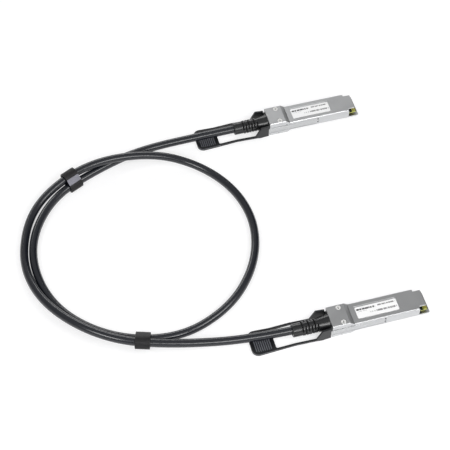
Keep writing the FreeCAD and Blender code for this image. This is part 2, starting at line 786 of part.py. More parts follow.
def boot(doc, dim, label):
    """The strain relief: a slotted rubber sleeve with a collar behind the shell and a flange in it.

    Its frame is on the axis of the cable.
    """
    body = new_body(doc, label)
    bore = dim.cable_diameter / 2 + dim.fit_clearance
    mouth = dim.boot_mouth_diameter / 2
    root = dim.boot_root_diameter / 2
    last_slot = dim.boot_slot_first + dim.boot_slot_pitch * (dim.boot_slot_count - 1)
    slots_end = last_slot + dim.boot_slot_width
    revolve(body, "Revolution", "y", 0, "H_Axis", 360,
            polygon((-dim.boot_length, 0), (0, 0), (0, dim.boot_flare_diameter / 2),
                    (-dim.collar_thickness, dim.boot_flare_diameter / 2),
                    (-dim.boot_slot_first, root), (-slots_end, root), (-slots_end, mouth),
                    (-dim.boot_length + dim.boot_mouth_break, mouth),
                    (-dim.boot_length, mouth - dim.boot_mouth_break)))
    collar_side = dim.collar_width / 2
    extrude(body, "Pad", "x", -dim.collar_thickness, 0,
            box(-collar_side, collar_side, -dim.collar_drop - dim.collar_height / 2,
                dim.collar_height / 2 - dim.collar_drop, dim.collar_corner))
    neck_side = dim.neck_width / 2 - dim.fit_clearance
    neck_top = dim.neck_height / 2 - dim.fit_clearance
    extrude(body, "Pad", "x", 0, dim.rear_wall,
            box(-neck_side, neck_side, -neck_top, neck_top, dim.neck_corner - dim.fit_clearance))
    flange_end = dim.rear_wall + dim.flange_thickness
    extrude(body, "Pad", "x", dim.rear_wall, flange_end,
            box(-dim.flange_width / 2, dim.flange_width / 2, -dim.flange_height / 2,
                dim.flange_height / 2, dim.flange_corner))
    extrude(body, "Pocket", "x", -dim.boot_length, dim.jacket_inset, circle(0, 0, bore))
    extrude(body, "Pocket", "x", dim.jacket_inset, flange_end,
            circle(0, 0, dim.ferrule_diameter / 2 + dim.fit_clearance))
    # The slots go in pairs that face each other, by turns at the sides and above and below.
    for axis, first in (("z", 0), ("y", 1)):
        slots = []
        for number in range(first, int(dim.boot_slot_count.value), 2):
            front = -dim.boot_slot_first - dim.boot_slot_pitch * number
            for low, high in both_sides(dim.boot_core_diameter / 2, dim.boot_flare_diameter / 2):
                slots.append(box(front - dim.boot_slot_width, front, low, high))
        revolve(body, "Groove", axis, 0, "H_Axis", dim.boot_slot_sweep, *slots)
    return body


# ---------------------------------------------------------------------------------------------
# Latch


def latch_arm(doc, dim, label, side):
    """A flat steel arm that lies in the recess of the shell, with a lug bent in over the spring."""
    body = new_body(doc, label)
    top = dim.arm_foot + dim.arm_front_height
    low, high = both_sides(dim.arm_inner, dim.arm_outer)[side]
    extrude(body, "Pad", "y", low, high,
            polygon((-dim.arm_tail, dim.arm_foot),
                    (dim.arm_front, dim.arm_foot, dim.arm_tip_corner),
                    (dim.arm_front, top, dim.arm_tip_corner), (dim.arm_step_at, top),
                    (dim.arm_step_at, dim.arm_foot + dim.arm_rear_height),
                    (-dim.arm_tail, dim.arm_foot + dim.arm_rear_height)))
    low, high = both_sides(dim.pocket_side + dim.arm_side_clearance, dim.arm_inner)[side]
    extrude(body, "Pad", "y", low, high,
            box(dim.lug_rear, dim.lug_front, dim.spring_axis_height - dim.lug_height / 2,
                dim.spring_axis_height + dim.lug_height / 2))
    return body


def return_spring(doc, dim, label):
    """A coil spring along X, drawn as short straight runs of a six-sided wire."""
    length = float(dim.lug_rear - dim.spring_pocket_start)
    wire_radius = float(dim.spring_wire) / 2
    coil = float(dim.spring_diameter) / 2 - wire_radius
    runs = int(RUNS_PER_TURN * float(dim.spring_turns))
    points = []
    for step in range(runs + 1):
        angle = 2 * math.pi * step / RUNS_PER_TURN
        along = wire_radius + (length - 2 * wire_radius) * step / runs
        points.append(FreeCAD.Vector(along, coil * math.cos(angle), coil * math.sin(angle)))
    spring = doc.addObject("Part::Feature", label)
    spring.Label = label
    spring.Shape = wire(points, wire_radius, SPRING_SIDES)
    return spring


def pull_tab(doc, dim, label):
    """The moulded tab: two root plates on the arms, two arched straps and a ribbed grip."""
    body = new_body(doc, label)
    top = dim.tab_root_foot + dim.tab_root_height
    outer = dim.tab_width / 2
    inner = outer - dim.strap_width
    grip_side = dim.grip_width / 2
    root_end = dim.tab_gap + dim.tab_root_length
    slant_end = root_end + dim.tab_slant_length
    grip_front = dim.tab_window_end + dim.grip_rim
    grip_end = dim.tab_length - dim.grip_rim
    extrude(body, "Pad", "z", 0, top,
            polygon((-dim.tab_gap, dim.tab_root_width / 2), (-dim.tab_flare_at, outer),
                    (-dim.tab_window_end, outer, dim.strap_bend),
                    (-dim.tab_length, grip_side, dim.grip_corner),
                    (-dim.tab_length, -grip_side, dim.grip_corner),
                    (-dim.tab_window_end, -outer, dim.strap_bend),
                    (-dim.tab_flare_at, -outer), (-dim.tab_gap, -dim.tab_root_width / 2)))
    extrude(body, "Pocket", "z", 0, top,
            polygon((-dim.tab_gap, dim.tab_root_room / 2), (-dim.tab_gap, -dim.tab_root_room / 2),
                    (-dim.tab_flare_at, -inner), (-dim.tab_window_end, -inner, dim.window_corner),
                    (-dim.tab_window_end, inner, dim.window_corner), (-dim.tab_flare_at, inner)))
    grip_top = dim.grip_foot + dim.grip_height
    middle = (slant_end + grip_front) / 2
    extrude(body, "Pocket", "y", -grip_side, grip_side,
            polygon((-root_end, top), (-slant_end, dim.strap_root_rise + dim.strap_height),
                    (-middle, dim.strap_rise + dim.strap_height, dim.strap_bend),
                    (-grip_front, grip_top, dim.grip_bend),
                    (-dim.tab_length, grip_top), (-dim.tab_length, top)))
    extrude(body, "Pocket", "y", -grip_side, grip_side,
            polygon((0, 0), (0, dim.tab_root_foot), (-root_end, dim.tab_root_foot),
                    (-slant_end, dim.strap_root_rise), (-middle, dim.strap_rise, dim.strap_bend),
                    (-grip_front, dim.grip_foot, dim.grip_bend),
                    (-dim.tab_length, dim.grip_foot), (-dim.tab_length, 0)))
    extrude(body, "Pocket", "z", dim.grip_foot + dim.grip_web, grip_top,
            box(-grip_end, -grip_front, -outer + dim.grip_rim, outer - dim.grip_rim,
                dim.grip_corner - dim.grip_rim))
    first = -(grip_front + grip_end) / 2 - dim.rib_pitch * (dim.rib_count - 1) / 2
    rib = extrude(body, "Pad", "z", dim.grip_foot + dim.grip_web,
                  dim.grip_foot + dim.grip_web + dim.rib_height,
                  box(first - dim.rib_width / 2, first + dim.rib_width / 2,
                      -outer + dim.grip_rim, outer - dim.grip_rim))
    doc.recompute()
    pattern = body.newObject("PartDesign::LinearPattern", "Ribs")
    pattern.Originals = [rib]
    pattern.Direction = (rib.Profile[0], ["H_Axis"])
    pattern.setExpression("Length", (dim.rib_pitch * (dim.rib_count - 1)).text)
    pattern.setExpression("Occurrences", dim.rib_count.text)
    body.Tip = pattern
    for low, high in both_sides(dim.arm_inner, dim.arm_outer):
        extrude(body, "Pocket", "y", low, high,
                box(-dim.arm_tail, -dim.tab_gap, dim.arm_foot, dim.arm_foot + dim.arm_rear_height))
    return body


# ---------------------------------------------------------------------------------------------
# Cable and ties


def cable_points(dim):
    """The cable's route: straight leads out of both plugs, and the bends between them."""
    spread = float(dim.plug_spread)
    height = float(dim.cable_axis_height)
    ends = []
    for x, y in ((float(dim.plug_a_x), spread), (float(dim.plug_b_x), -spread)):
        ends.append((FreeCAD.Vector(x + float(dim.jacket_inset), y, height),
                     FreeCAD.Vector(x - float(dim.cable_lead_length), y, height)))
    bends = [FreeCAD.Vector(*point) for point in ROUTE]
    return [*ends[0], *bends, *reversed(ends[1])]


def cable(doc, dim, points):
    jacket = doc.addObject("Part::Feature", "cable")
    jacket.Label = "cable"
    jacket.Shape, radii, length = tube(points, float(dim.cable_diameter))
    print("Cable: length %.1f, volume %.0f, radii %s"
          % (length, jacket.Shape.Volume, " ".join("%.0f" % radius for radius in radii)))
    return jacket


def tie(doc, dim, label, bends, *runs):
    """A flat band round two runs of the cable, with its end lapped over on top.

    A run is named by the number of the bend that starts it.
    """
    middles = [(bends[run] + bends[run + 1]) / 2 for run in runs]
    ways = [(bends[run + 1] - bends[run]).normalize() for run in runs]
    along = (ways[0] + ways[1]).normalize()
    across = middles[1] - middles[0]
    across = across - along * across.dot(along)
    spacing = across.Length
    across.normalize()
    up = along.cross(across)
    half = float(dim.tie_length) / 2
    inner = float(dim.cable_diameter) / 2 + float(dim.tie_clearance)
    outer = inner + float(dim.tie_wall)
    band = stadium(spacing, outer, half).cut(stadium(spacing, inner, half))
    side = 1 if up.z > 0 else -1
    low = outer if side > 0 else -outer - float(dim.tie_wall)
    lap = Part.makeBox(half * 2, float(dim.tie_overlap), float(dim.tie_wall),
                       FreeCAD.Vector(-half, spacing / 2 - float(dim.tie_overlap) / 2, low))
    item = doc.addObject("Part::Feature", label)
    item.Label = label
    item.Shape = band.fuse(lap).removeSplitter()
    item.Placement = FreeCAD.Placement(middles[0], FreeCAD.Rotation(along, across, up, "XYZ"))
    return item


def stadium(spacing, radius, half):
    """A solid along X with two round ends, at y = 0 and y = spacing."""
    top = FreeCAD.Vector(-half, 0, radius)
    bottom = FreeCAD.Vector(-half, 0, -radius)
    shift = FreeCAD.Vector(0, spacing, 0)
    edges = [Part.LineSegment(top, top + shift).toShape(),
             Part.Arc(top + shift, FreeCAD.Vector(-half, spacing + radius, 0),
                      bottom + shift).toShape(),
             Part.LineSegment(bottom + shift, bottom).toShape(),
             Part.Arc(bottom, FreeCAD.Vector(-half, -radius, 0), top).toShape()]
    return Part.Face(Part.Wire(edges)).extrude(FreeCAD.Vector(half * 2, 0, 0))


# ---------------------------------------------------------------------------------------------
# The whole part


def plug(doc, dim, name, x, y):
    """Every piece of one plug."""
    axis = dim.cable_axis_height
    pieces = [(top_shell(doc, dim, "top_shell" + name), 0, 0, 0),
              (bottom_shell(doc, dim, "bottom_shell" + name), 0, 0, 0),
              (paddle_card(doc, dim, "paddle_card" + name), 0, 0, 0),
              (contact_pads(doc, dim, "contact_pads" + name), 0, 0, 0),
              (memory_chip(doc, dim, "memory_chip" + name),
               dim.chip_at, -dim.chip_width / 2, dim.card_top),
              (crimp_ferrule(doc, dim, "crimp_ferrule" + name), 0, 0, axis),
              (twinax_pairs(doc, dim, "twinax_pairs" + name), 0, 0, 0),
              (cover_screws(doc, dim, "cover_screws" + name), dim.screw_at, 0, 0),
              (label_sheet(doc, dim, "label" + name), 0, 0, 0),
              (boot(doc, dim, "boot" + name), 0, 0, axis),
              (pull_tab(doc, dim, "pull_tab" + name), 0, 0, 0)]
    spring_side = dim.recess_side - dim.spring_pocket_depth / 2
    for side, (word, spring_y) in enumerate((("left", spring_side), ("right", -spring_side))):
        pieces.append((latch_arm(doc, dim, "latch_arm_%s%s" % (word, name), side), 0, 0, 0))
        pieces.append((return_spring(doc, dim, "return_spring_%s%s" % (word, name)),
                       dim.spring_pocket_start, spring_y, dim.spring_axis_height))
    for piece, ahead, across, up in pieces:
        place(piece, x + ahead, y + across, up)
    return [piece for piece, *_ in pieces]


def check(doc, parts):
    """Stop before anything is written if a feature failed, cut nothing or lost its shape."""
    for item in doc.Objects:
        if "Invalid" in item.State or "Error" in item.State:
            raise ValueError("%s in %s failed" % (item.Name, item.InList))
        if item.TypeId in ("PartDesign::Pocket", "PartDesign::Groove"):
            if item.Shape.Volume > item.BaseFeature.Shape.Volume - LEAST_CUT:
                raise ValueError("%s of %s cuts nothing" % (item.Name, item.getParent().Label))
    for part in parts:
        if part.Shape.isNull() or not part.Shape.isValid() or not part.Shape.Solids:
            raise ValueError("%s has no valid shape" % part.Label)


def main():
    doc = FreeCAD.newDocument("direct_attach_cable")
    dim = fill_sheet(doc)
    derive(dim)
    points = cable_points(dim)
    bends = points[2:-2]
    parts = [cable(doc, dim, points), tie(doc, dim, "tie_1", bends, 1, 13),
             tie(doc, dim, "tie_2", bends, 5, 18)]
    parts += plug(doc, dim, "_a", dim.plug_a_x, dim.plug_spread)
    parts += plug(doc, dim, "_b", dim.plug_b_x, -dim.plug_spread)
    doc.recompute()
    check(doc, parts)
    os.makedirs("parts", exist_ok=True)
    for part in parts:
        part.Shape.exportStep("parts/%s.step" % part.Label)


main()
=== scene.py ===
"""A direct attach copper cable: two die-cast plugs with pull tabs, joined by a coiled black cable."""

import math

import bpy
from mathutils import Matrix, Vector


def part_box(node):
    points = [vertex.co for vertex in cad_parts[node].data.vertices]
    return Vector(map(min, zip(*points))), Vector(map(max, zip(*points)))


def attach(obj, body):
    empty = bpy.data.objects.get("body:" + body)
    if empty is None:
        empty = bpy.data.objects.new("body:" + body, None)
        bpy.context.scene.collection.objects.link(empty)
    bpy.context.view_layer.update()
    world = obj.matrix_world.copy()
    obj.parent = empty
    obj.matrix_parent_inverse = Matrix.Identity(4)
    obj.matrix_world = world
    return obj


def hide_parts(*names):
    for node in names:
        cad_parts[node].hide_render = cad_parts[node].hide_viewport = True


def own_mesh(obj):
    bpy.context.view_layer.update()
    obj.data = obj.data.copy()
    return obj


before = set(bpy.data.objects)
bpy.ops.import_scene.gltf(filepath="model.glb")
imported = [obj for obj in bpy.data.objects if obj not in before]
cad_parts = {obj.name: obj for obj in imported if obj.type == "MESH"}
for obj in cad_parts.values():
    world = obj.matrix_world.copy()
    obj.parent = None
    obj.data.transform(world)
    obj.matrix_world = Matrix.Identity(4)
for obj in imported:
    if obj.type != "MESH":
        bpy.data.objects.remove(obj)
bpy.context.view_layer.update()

MM = 0.001
FIXED = "cable_and_plugs"       # the body of everything but the tabs and the latch arms
PLUGS = ("a", "b")              # both noses point along +X

# The cable. Its route is in metres, from the jacket's end in plug A to its end in plug B.
CABLE_DIAMETER = 6.4 * MM
CABLE_HEIGHT = 6.75 * MM        # of the cable's axis where it enters a plug
CABLE_ROUTE = [
    (-0.00035, 0.10050, 0.00675),
    (-0.05425, 0.10050, 0.00675),
    (-0.10850, 0.10120, 0.00470),
    (-0.14600, 0.09120, 0.00370),
    (-0.18900, 0.07080, 0.00480),
    (-0.21540, 0.02640, 0.00350),
    (-0.20950, -0.02860, 0.00340),
    (-0.17350, -0.06890, 0.00430),
    (-0.12450, -0.08340, 0.00420),
    (-0.08100, -0.06700, 0.00330),
    (-0.05250, -0.03600, 0.00340),
    (-0.03950, 0.00240, 0.00340),
    (-0.04450, 0.04050, 0.00330),
    (-0.06560, 0.07290, 0.00380),
    (-0.10050, 0.09050, 0.01050),
    (-0.15060, 0.09390, 0.01120),
    (-0.19100, 0.07620, 0.00670),
    (-0.21230, 0.05070, 0.00360),
    (-0.22260, 0.00800, 0.00460),
    (-0.21050, -0.03550, 0.00830),
    (-0.17450, -0.07400, 0.00990),
    (-0.12600, -0.08910, 0.00620),
    (-0.06655, -0.10050, 0.00675),
    (-0.01265, -0.10050, 0.00675),
]

# The two tie bands: each holds the runs of the cable that start at these points of its route.
TIES = {"tie_1": (3, 15), "tie_2": (7, 20)}
TIE_LENGTH = 11.1 * MM
TIE_INSIDE = 3.5 * MM           # radius of the band's round ends
TIE_WALL = 1.6 * MM             # several layers, wound loosely
TIE_SIDES = 48
TIE_CUT_HEIGHT = 0.02 * MM      # where the band is cut off underneath, to a tenth of a millimetre
TIE_HEM = 0.3 * MM              # the round of the band's edges
TIE_HEM_ANGLE = math.radians(50.0)
TIE_CREASE_ANGLE = math.radians(40.0)
LAP_WIDTH = 5.0 * MM
LAP_SETBACK = 0.2 * MM          # the lap is this much shorter than its band
LAP_THICKNESS = 0.25 * MM
LAP_LIFT = 0.1 * MM             # of the lap's middle above the band, so that they meet
LAP_RIM = 0.1 * MM

# Threads over the whole of a piece's UV map, round a band or across a lap and then along it.
# The band's come 0.4 mm apart on its round ends, and wider on its flats, where the map is stretched.
BAND_THREADS = (80.0, 26.0)
LAP_THREADS = (100.0, 100.0)

# Hollows in a plug's sides, where shade is painted, in millimetres from its rear foot: along, out and up, and
# the radius.
# They are the hole under the seam's step, the pin mark at the foot, and the gap past the arm's tip.
SHADED_HOLLOWS = (
    ((14.4, 8.78, 9.3), 0.74),
    ((7.6, 9.00, 1.5), 0.48),
    ((41.2, 8.63, 7.7), 0.60),
    ((41.2, 8.63, 4.2), 0.60),
)

# The screws' cross recesses, down from the heads' tops: painted shade makes them dark below one depth, and
# they keep the heads' bright colour above the other.
RECESS_SHADE_DEPTH = 0.6 * MM
RECESS_BRIGHT = 0.25 * MM

# A boot's slotted stretch, along from the plug's rear foot, and the radius of its rings.
SLOTS_MIDDLE = -14.5 * MM
SLOTS_REACH = 6.7 * MM
RING_RADIUS = 5.4 * MM

# The tabs, which lie on the floor, and the latch arms that slide with them.
# A painted highlight lies on the crests of the grip's ribs.
CREST_HEIGHT = 1.7 * MM         # of the crests of the grip's ribs above the floor
CREST_REACH = 0.2 * MM          # of a crest, up and down from there
GRIP_LENGTH = 18.5 * MM         # from the tab's end

# The card, back from its front edge.
MASK_SETBACK = 3.7 * MM         # in front of this the solder mask leaves the laminate bare
LIP_LENGTH = 0.8 * MM           # bevelled and grubby
CARD_EDGE_REACH = 0.4 * MM      # bare laminate on the card's edge, up and down from its middle

# Print on a label, in millimetres from its rear far corner: where a bar starts and ends along the
# label and across it, how black it is, and how much of it the gaps between words take.
PRINT_BARS = (
    (0.9, 15.5, 1.7, 3.2, 0.95, 0.40),
    (17.4, 31.0, 1.4, 2.6, 0.75, 0.42),
    (1.5, 8.5, 4.0, 4.5, 0.45, 0.45),
    (10.5, 15.0, 5.9, 7.1, 0.40, 0.47),
    (15.0, 31.3, 5.7, 7.2, 0.75, 0.43),
)

# How finished copies of CAD nodes are cleaned and creased.
MERGE_DISTANCE = 0.002 * MM
FLAT_ANGLE = math.radians(1.0)
CREASE_ANGLE = math.radians(30.0)

# The studio, in metres. A lamp's size is along and up.
CAMERA_PLACE = Vector((-0.24416, -0.64201, 0.88507))
CAMERA_AIM = Vector((-0.06207, 0.01215, 0.0))
CAMERA_LENS = 114.14            # millimetres, as is the sensor's width
CAMERA_SENSOR = 36.0
LAMP_AIM = Vector((-0.07, 0.0, 0.0))
LAMPS = (
    ("front_softbox", (-0.03, -0.92, 0.74), (0.6, 0.4), 4.6),
    ("back_strip", (-0.1, 1.15, 0.62), (1.2, 0.25), 4.5),
    ("left_softbox", (-0.74, -0.5, 0.85), (0.45, 0.4), 3.8),
    ("right_softbox", (0.59, -0.5, 0.86), (0.6, 0.4), 4.2),
)
FLOOR_SIZE = 6.0
FLOOR_LIFT = 0.61               # what the floor adds to its own light where it is seen
ROOM_LIGHT = ((0.0, 0.65), (0.35, 0.42), (0.79, 0.34), (1.0, 0.55))     # height of a ray, brightness
DARK_CORNER = (0.796, 0.59, 0.148)      # the way to the room's dark corner
DARK_EDGE = (0.7, 0.96)                 # cosine of the angle from it, where it begins and is darkest
DARK_SHARE = 0.15                       # of the light that is left there


# ------------------------------------------------------------------------------ small helpers

def deselect_all():
    """Nothing selected and nothing active, so that the next operator acts on its own piece."""
    if bpy.context.object and bpy.context.object.mode != "OBJECT":
        bpy.ops.object.mode_set(mode="OBJECT")
    bpy.ops.object.select_all(action="DESELECT")


def take_up(piece):
    """Make one piece the only selected and active one."""
    deselect_all()
    piece.select_set(True)
    bpy.context.view_layer.objects.active = piece


def rear_foot(plug):
    """The foot of a plug's rear face, midway between its sides, to the micrometre."""
    low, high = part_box("bottom_shell_" + plug)
    return Vector([round(value, 6) for value in (low.x, (low.y + high.y) / 2, 0.0)])


def linear(hex_colour):
    """An sRGB hex colour as linear RGBA."""
    channels = [int(hex_colour[i:i + 2], 16) / 255 for i in (1, 3, 5)]
    return [c / 12.92 if c <= 0.04045 else ((c + 0.055) / 1.055) ** 2.4 for c in channels] + [1.0]


def per_metre(spacing):
    """A pattern's scale: how many of its features, at this spacing, go into a metre."""
    return 1.0 / spacing


def add_node(tree, kind, inputs=None, **settings):
    """Add a node with its settings; an input is a value, or the output socket that feeds it."""
    node = tree.nodes.new(kind)
    for name, value in settings.items():
        setattr(node, name, value)
    for name, value in (inputs or {}).items():
        if isinstance(value, bpy.types.NodeSocket):
            tree.links.new(value, node.inputs[name])
        else:
            node.inputs[name].default_value = value
    return node


def new_material(name, shader):
    """A material with one Principled shader, given its constant inputs."""
    material = bpy.data.materials.new(name)
    material.use_nodes = True
    tree = material.node_tree
    principled = tree.nodes["Principled BSDF"]
    for socket, value in shader.items():
        principled.inputs[socket].default_value = value
    return material, tree, principled


def paint(piece, material):
    """Give a piece one material all over."""
    piece.data.materials.clear()
    piece.data.materials.append(material)


# ------------------------------------------------------------------------------ materials

def nickel_plated_zinc(plug):
    """Die-cast zinc under satin nickel: soft grey reflections, a fine cast grain and painted shade in its
    hollows.
    """
    material, tree, shader = new_material("nickel_plated_zinc_" + plug, {"Metallic": 1.0})
    place = add_node(tree, "ShaderNodeTexCoord").outputs["Object"]
    # The grain is about 0.1 mm, and is drawn coarser so that it shows.
    grain = add_node(tree, "ShaderNodeTexNoise",
                     {"Vector": place, "Scale": per_metre(0.455 * MM), "Detail": 3.0})
    haze = add_node(tree, "ShaderNodeTexNoise",
                    {"Vector": place, "Scale": per_metre(11.1 * MM), "Detail": 2.0})
    rough = add_node(tree, "ShaderNodeMapRange",
                     {"Value": haze.outputs["Fac"], "To Min": 0.26, "To Max": 0.42})
    tree.links.new(rough.outputs["Result"], shader.inputs["Roughness"])
    bump = add_node(tree, "ShaderNodeBump",
                    {"Strength": 0.12, "Distance": 0.03 * MM, "Height": grain.outputs["Fac"]})
    tree.links.new(bump.outputs["Normal"], shader.inputs["Normal"])
    # Painted shade darkens the small hollows of each side, which are mirrored about the middle.
    local = add_node(tree, "ShaderNodeVectorMath", {0: place, 1: rear_foot(plug)}, operation="SUBTRACT")
    folded = add_node(tree, "ShaderNodeVectorMath", {0: local.outputs["Vector"]}, operation="ABSOLUTE")
    dark = None
    for middle, radius in SHADED_HOLLOWS:
        reach = add_node(tree, "ShaderNodeVectorMath",
                         {0: folded.outputs["Vector"], 1: Vector(middle) * MM}, operation="DISTANCE")
        shade_spot = add_node(tree, "ShaderNodeMath", {0: reach.outputs["Value"], 1: radius * MM},
                        operation="LESS_THAN").outputs["Value"]
        dark = shade_spot if dark is None else add_node(
            tree, "ShaderNodeMath", {0: dark, 1: shade_spot}, operation="MAXIMUM").outputs["Value"]
    tint = add_node(tree, "ShaderNodeMix",
                    {"Factor": dark, "A": linear("#CDCECF"), "B": linear("#1E1E1E")}, data_type="RGBA")
    tree.links.new(tint.outputs["Result"], shader.inputs["Base Color"])
    return material


def spring_steel():
    """Rolled stainless strip and wire: bright, with a streaky sheen along the plug."""
    material, tree, shader = new_material(
        "spring_steel", {"Base Color": linear("#C6C7C8"), "Metallic": 1.0})
    place = add_node(tree, "ShaderNodeTexCoord").outputs["Object"]
    # Rolling leaves streaks many millimetres long and a fraction of one wide.
    streaks = (per_metre(16.7 * MM), per_metre(0.333 * MM), per_metre(0.333 * MM))
    stretch = add_node(tree, "ShaderNodeMapping", {"Vector": place, "Scale": streaks})
    grain = add_node(tree, "ShaderNodeTexNoise", {"Vector": stretch.outputs["Vector"], "Scale": 1.0})
    rough = add_node(tree, "ShaderNodeMapRange",
                     {"Value": grain.outputs["Fac"], "To Min": 0.2, "To Max": 0.36})
    tree.links.new(rough.outputs["Result"], shader.inputs["Roughness"])
    return material


def zinc_plated_screw():
    """Milky bright zinc on a steel screw: a white sparkle round a cross, with painted shade inside the cross.
    """
    material, tree, shader = new_material("zinc_plated_screw", {"Metallic": 0.5, "Roughness": 0.28})
    head_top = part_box("cover_screws_a")[1].z
    place = add_node(tree, "ShaderNodeTexCoord").outputs["Object"]
    height = add_node(tree, "ShaderNodeSeparateXYZ", {"Vector": place}).outputs["Z"]
    # Shade is painted into the cross recess: the colour goes dark towards its bottom.
    depth = add_node(tree, "ShaderNodeMapRange",
                     {"Value": height, "From Min": head_top - RECESS_SHADE_DEPTH,
                      "From Max": head_top - RECESS_BRIGHT})
    tint = add_node(tree, "ShaderNodeMix",
                    {"Factor": depth.outputs["Result"], "A": linear("#2E2E2E"), "B": linear("#F6F6F4")},
                    data_type="RGBA")
    tree.links.new(tint.outputs["Result"], shader.inputs["Base Color"])
    # The plating's ripple is finer than this, and is drawn coarser so that it shows.
    grain = add_node(tree, "ShaderNodeTexNoise", {"Vector": place, "Scale": per_metre(1.11 * MM)})
    bump = add_node(tree, "ShaderNodeBump",
                    {"Strength": 0.4, "Distance": 0.06 * MM, "Height": grain.outputs["Fac"]})
    tree.links.new(bump.outputs["Normal"], shader.inputs["Normal"])
    return material


def pvc_jacket():
    """Extruded PVC: blue black with a broad soft sheen and faint draw marks."""
    material, tree, shader = new_material("pvc_jacket", {"Base Color": linear("#10131B"), "IOR": 1.62})
    place = add_node(tree, "ShaderNodeTexCoord").outputs["Object"]
    haze = add_node(tree, "ShaderNodeTexNoise",
                    {"Vector": place, "Scale": per_metre(16.7 * MM), "Detail": 3.0})
    rough = add_node(tree, "ShaderNodeMapRange",
                     {"Value": haze.outputs["Fac"], "To Min": 0.18, "To Max": 0.27})
    tree.links.new(rough.outputs["Result"], shader.inputs["Roughness"])
    # The marks are about 0.1 mm, and are drawn coarser so that they show.
    grain = add_node(tree, "ShaderNodeTexNoise",
                     {"Vector": place, "Scale": per_metre(0.556 * MM), "Detail": 2.0})
    bump = add_node(tree, "ShaderNodeBump",
                    {"Strength": 0.15, "Distance": 0.04 * MM, "Height": grain.outputs["Fac"]})
    tree.links.new(bump.outputs["Normal"], shader.inputs["Normal"])
    return material


def moulded_rubber(plug):
    """Thermoplastic rubber, glossy on its rings, and matt with painted shade down in the slots."""
    material, tree, shader = new_material("moulded_rubber_" + plug, {"IOR": 1.6})
    place = add_node(tree, "ShaderNodeTexCoord").outputs["Object"]
    axis = rear_foot(plug) + Vector((0.0, 0.0, CABLE_HEIGHT))
    local = add_node(tree, "ShaderNodeVectorMath", {0: place, 1: axis},
                     operation="SUBTRACT").outputs["Vector"]
    spoke = add_node(tree, "ShaderNodeVectorMath", {0: local, 1: (0.0, 1.0, 1.0)}, operation="MULTIPLY")
    radius = add_node(tree, "ShaderNodeVectorMath", {0: spoke.outputs["Vector"]}, operation="LENGTH")
    # From half a millimetre down in a slot it is matt, and painted shade makes it black.
    sunk = add_node(tree, "ShaderNodeMapRange",
                    {"Value": radius.outputs["Value"], "From Min": RING_RADIUS - 0.5 * MM,
                     "From Max": RING_RADIUS - 0.2 * MM, "To Min": 1.0, "To Max": 0.0})
    along = add_node(tree, "ShaderNodeSeparateXYZ", {"Vector": local}).outputs["X"]
    slotted = add_node(tree, "ShaderNodeMath", {0: along, 1: SLOTS_MIDDLE, 2: SLOTS_REACH},
                       operation="COMPARE")
    slot_shade_and_matt = add_node(tree, "ShaderNodeMath", {0: sunk.outputs["Result"], 1: slotted.outputs["Value"]},
                    operation="MULTIPLY")
    # The mould's skin is finer than this, and is drawn coarser so that it shows.
    grain = add_node(tree, "ShaderNodeTexNoise",
                     {"Vector": place, "Scale": per_metre(0.417 * MM), "Detail": 3.0})
    skin = add_node(tree, "ShaderNodeMapRange",
                    {"Value": grain.outputs["Fac"], "To Min": 0.2, "To Max": 0.32})
    rough = add_node(tree, "ShaderNodeMix",
                     {"Factor": slot_shade_and_matt.outputs["Value"], "A": skin.outputs["Result"], "B": 0.95},
                     data_type="FLOAT")
    tree.links.new(rough.outputs["Result"], shader.inputs["Roughness"])
    tint = add_node(tree, "ShaderNodeMix",
                    {"Factor": slot_shade_and_matt.outputs["Value"], "A": linear("#111214"), "B": linear("#030303")},
                    data_type="RGBA")
    tree.links.new(tint.outputs["Result"], shader.inputs["Base Color"])
    bump = add_node(tree, "ShaderNodeBump",
                    {"Strength": 0.2, "Distance": 0.04 * MM, "Height": grain.outputs["Fac"]})
    tree.links.new(bump.outputs["Normal"], shader.inputs["Normal"])
    return material


def moulded_nylon(plug):
    """Glass-filled nylon: charcoal, with a grained skin and a painted highlight on the crests of the grip's
    ribs.
    """
    material, tree, shader = new_material("moulded_nylon_" + plug, {"IOR": 1.52})
    place = add_node(tree, "ShaderNodeTexCoord").outputs["Object"]
    # The skin's grain is about 0.1 mm, and is drawn coarser so that it shows.
    grain = add_node(tree, "ShaderNodeTexNoise",
                     {"Vector": place, "Scale": per_metre(0.5 * MM), "Detail": 4.0})
    rough = add_node(tree, "ShaderNodeMapRange",
                     {"Value": grain.outputs["Fac"], "To Min": 0.28, "To Max": 0.42})
    tree.links.new(rough.outputs["Result"], shader.inputs["Roughness"])
    bump = add_node(tree, "ShaderNodeBump",
                    {"Strength": 0.3, "Distance": 0.05 * MM, "Height": grain.outputs["Fac"]})
    tree.links.new(bump.outputs["Normal"], shader.inputs["Normal"])
    # A highlight is painted on the crests of the grip's ribs, in a lighter grey.
    axes = add_node(tree, "ShaderNodeSeparateXYZ", {"Vector": place})
    crest = add_node(tree, "ShaderNodeMath", {0: axes.outputs["Z"], 1: CREST_HEIGHT, 2: CREST_REACH},
                     operation="COMPARE")
    grip_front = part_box("pull_tab_" + plug)[0].x + GRIP_LENGTH
    on_grip = add_node(tree, "ShaderNodeMath", {0: axes.outputs["X"], 1: grip_front}, operation="LESS_THAN")
    crest_highlight = add_node(tree, "ShaderNodeMath", {0: crest.outputs["Value"], 1: on_grip.outputs["Value"]},
                    operation="MULTIPLY")
    tint = add_node(tree, "ShaderNodeMix",
                    {"Factor": crest_highlight.outputs["Value"], "A": linear("#17181B"), "B": linear("#63656B")},
                    data_type="RGBA")
    tree.links.new(tint.outputs["Result"], shader.inputs["Base Color"])
    return material


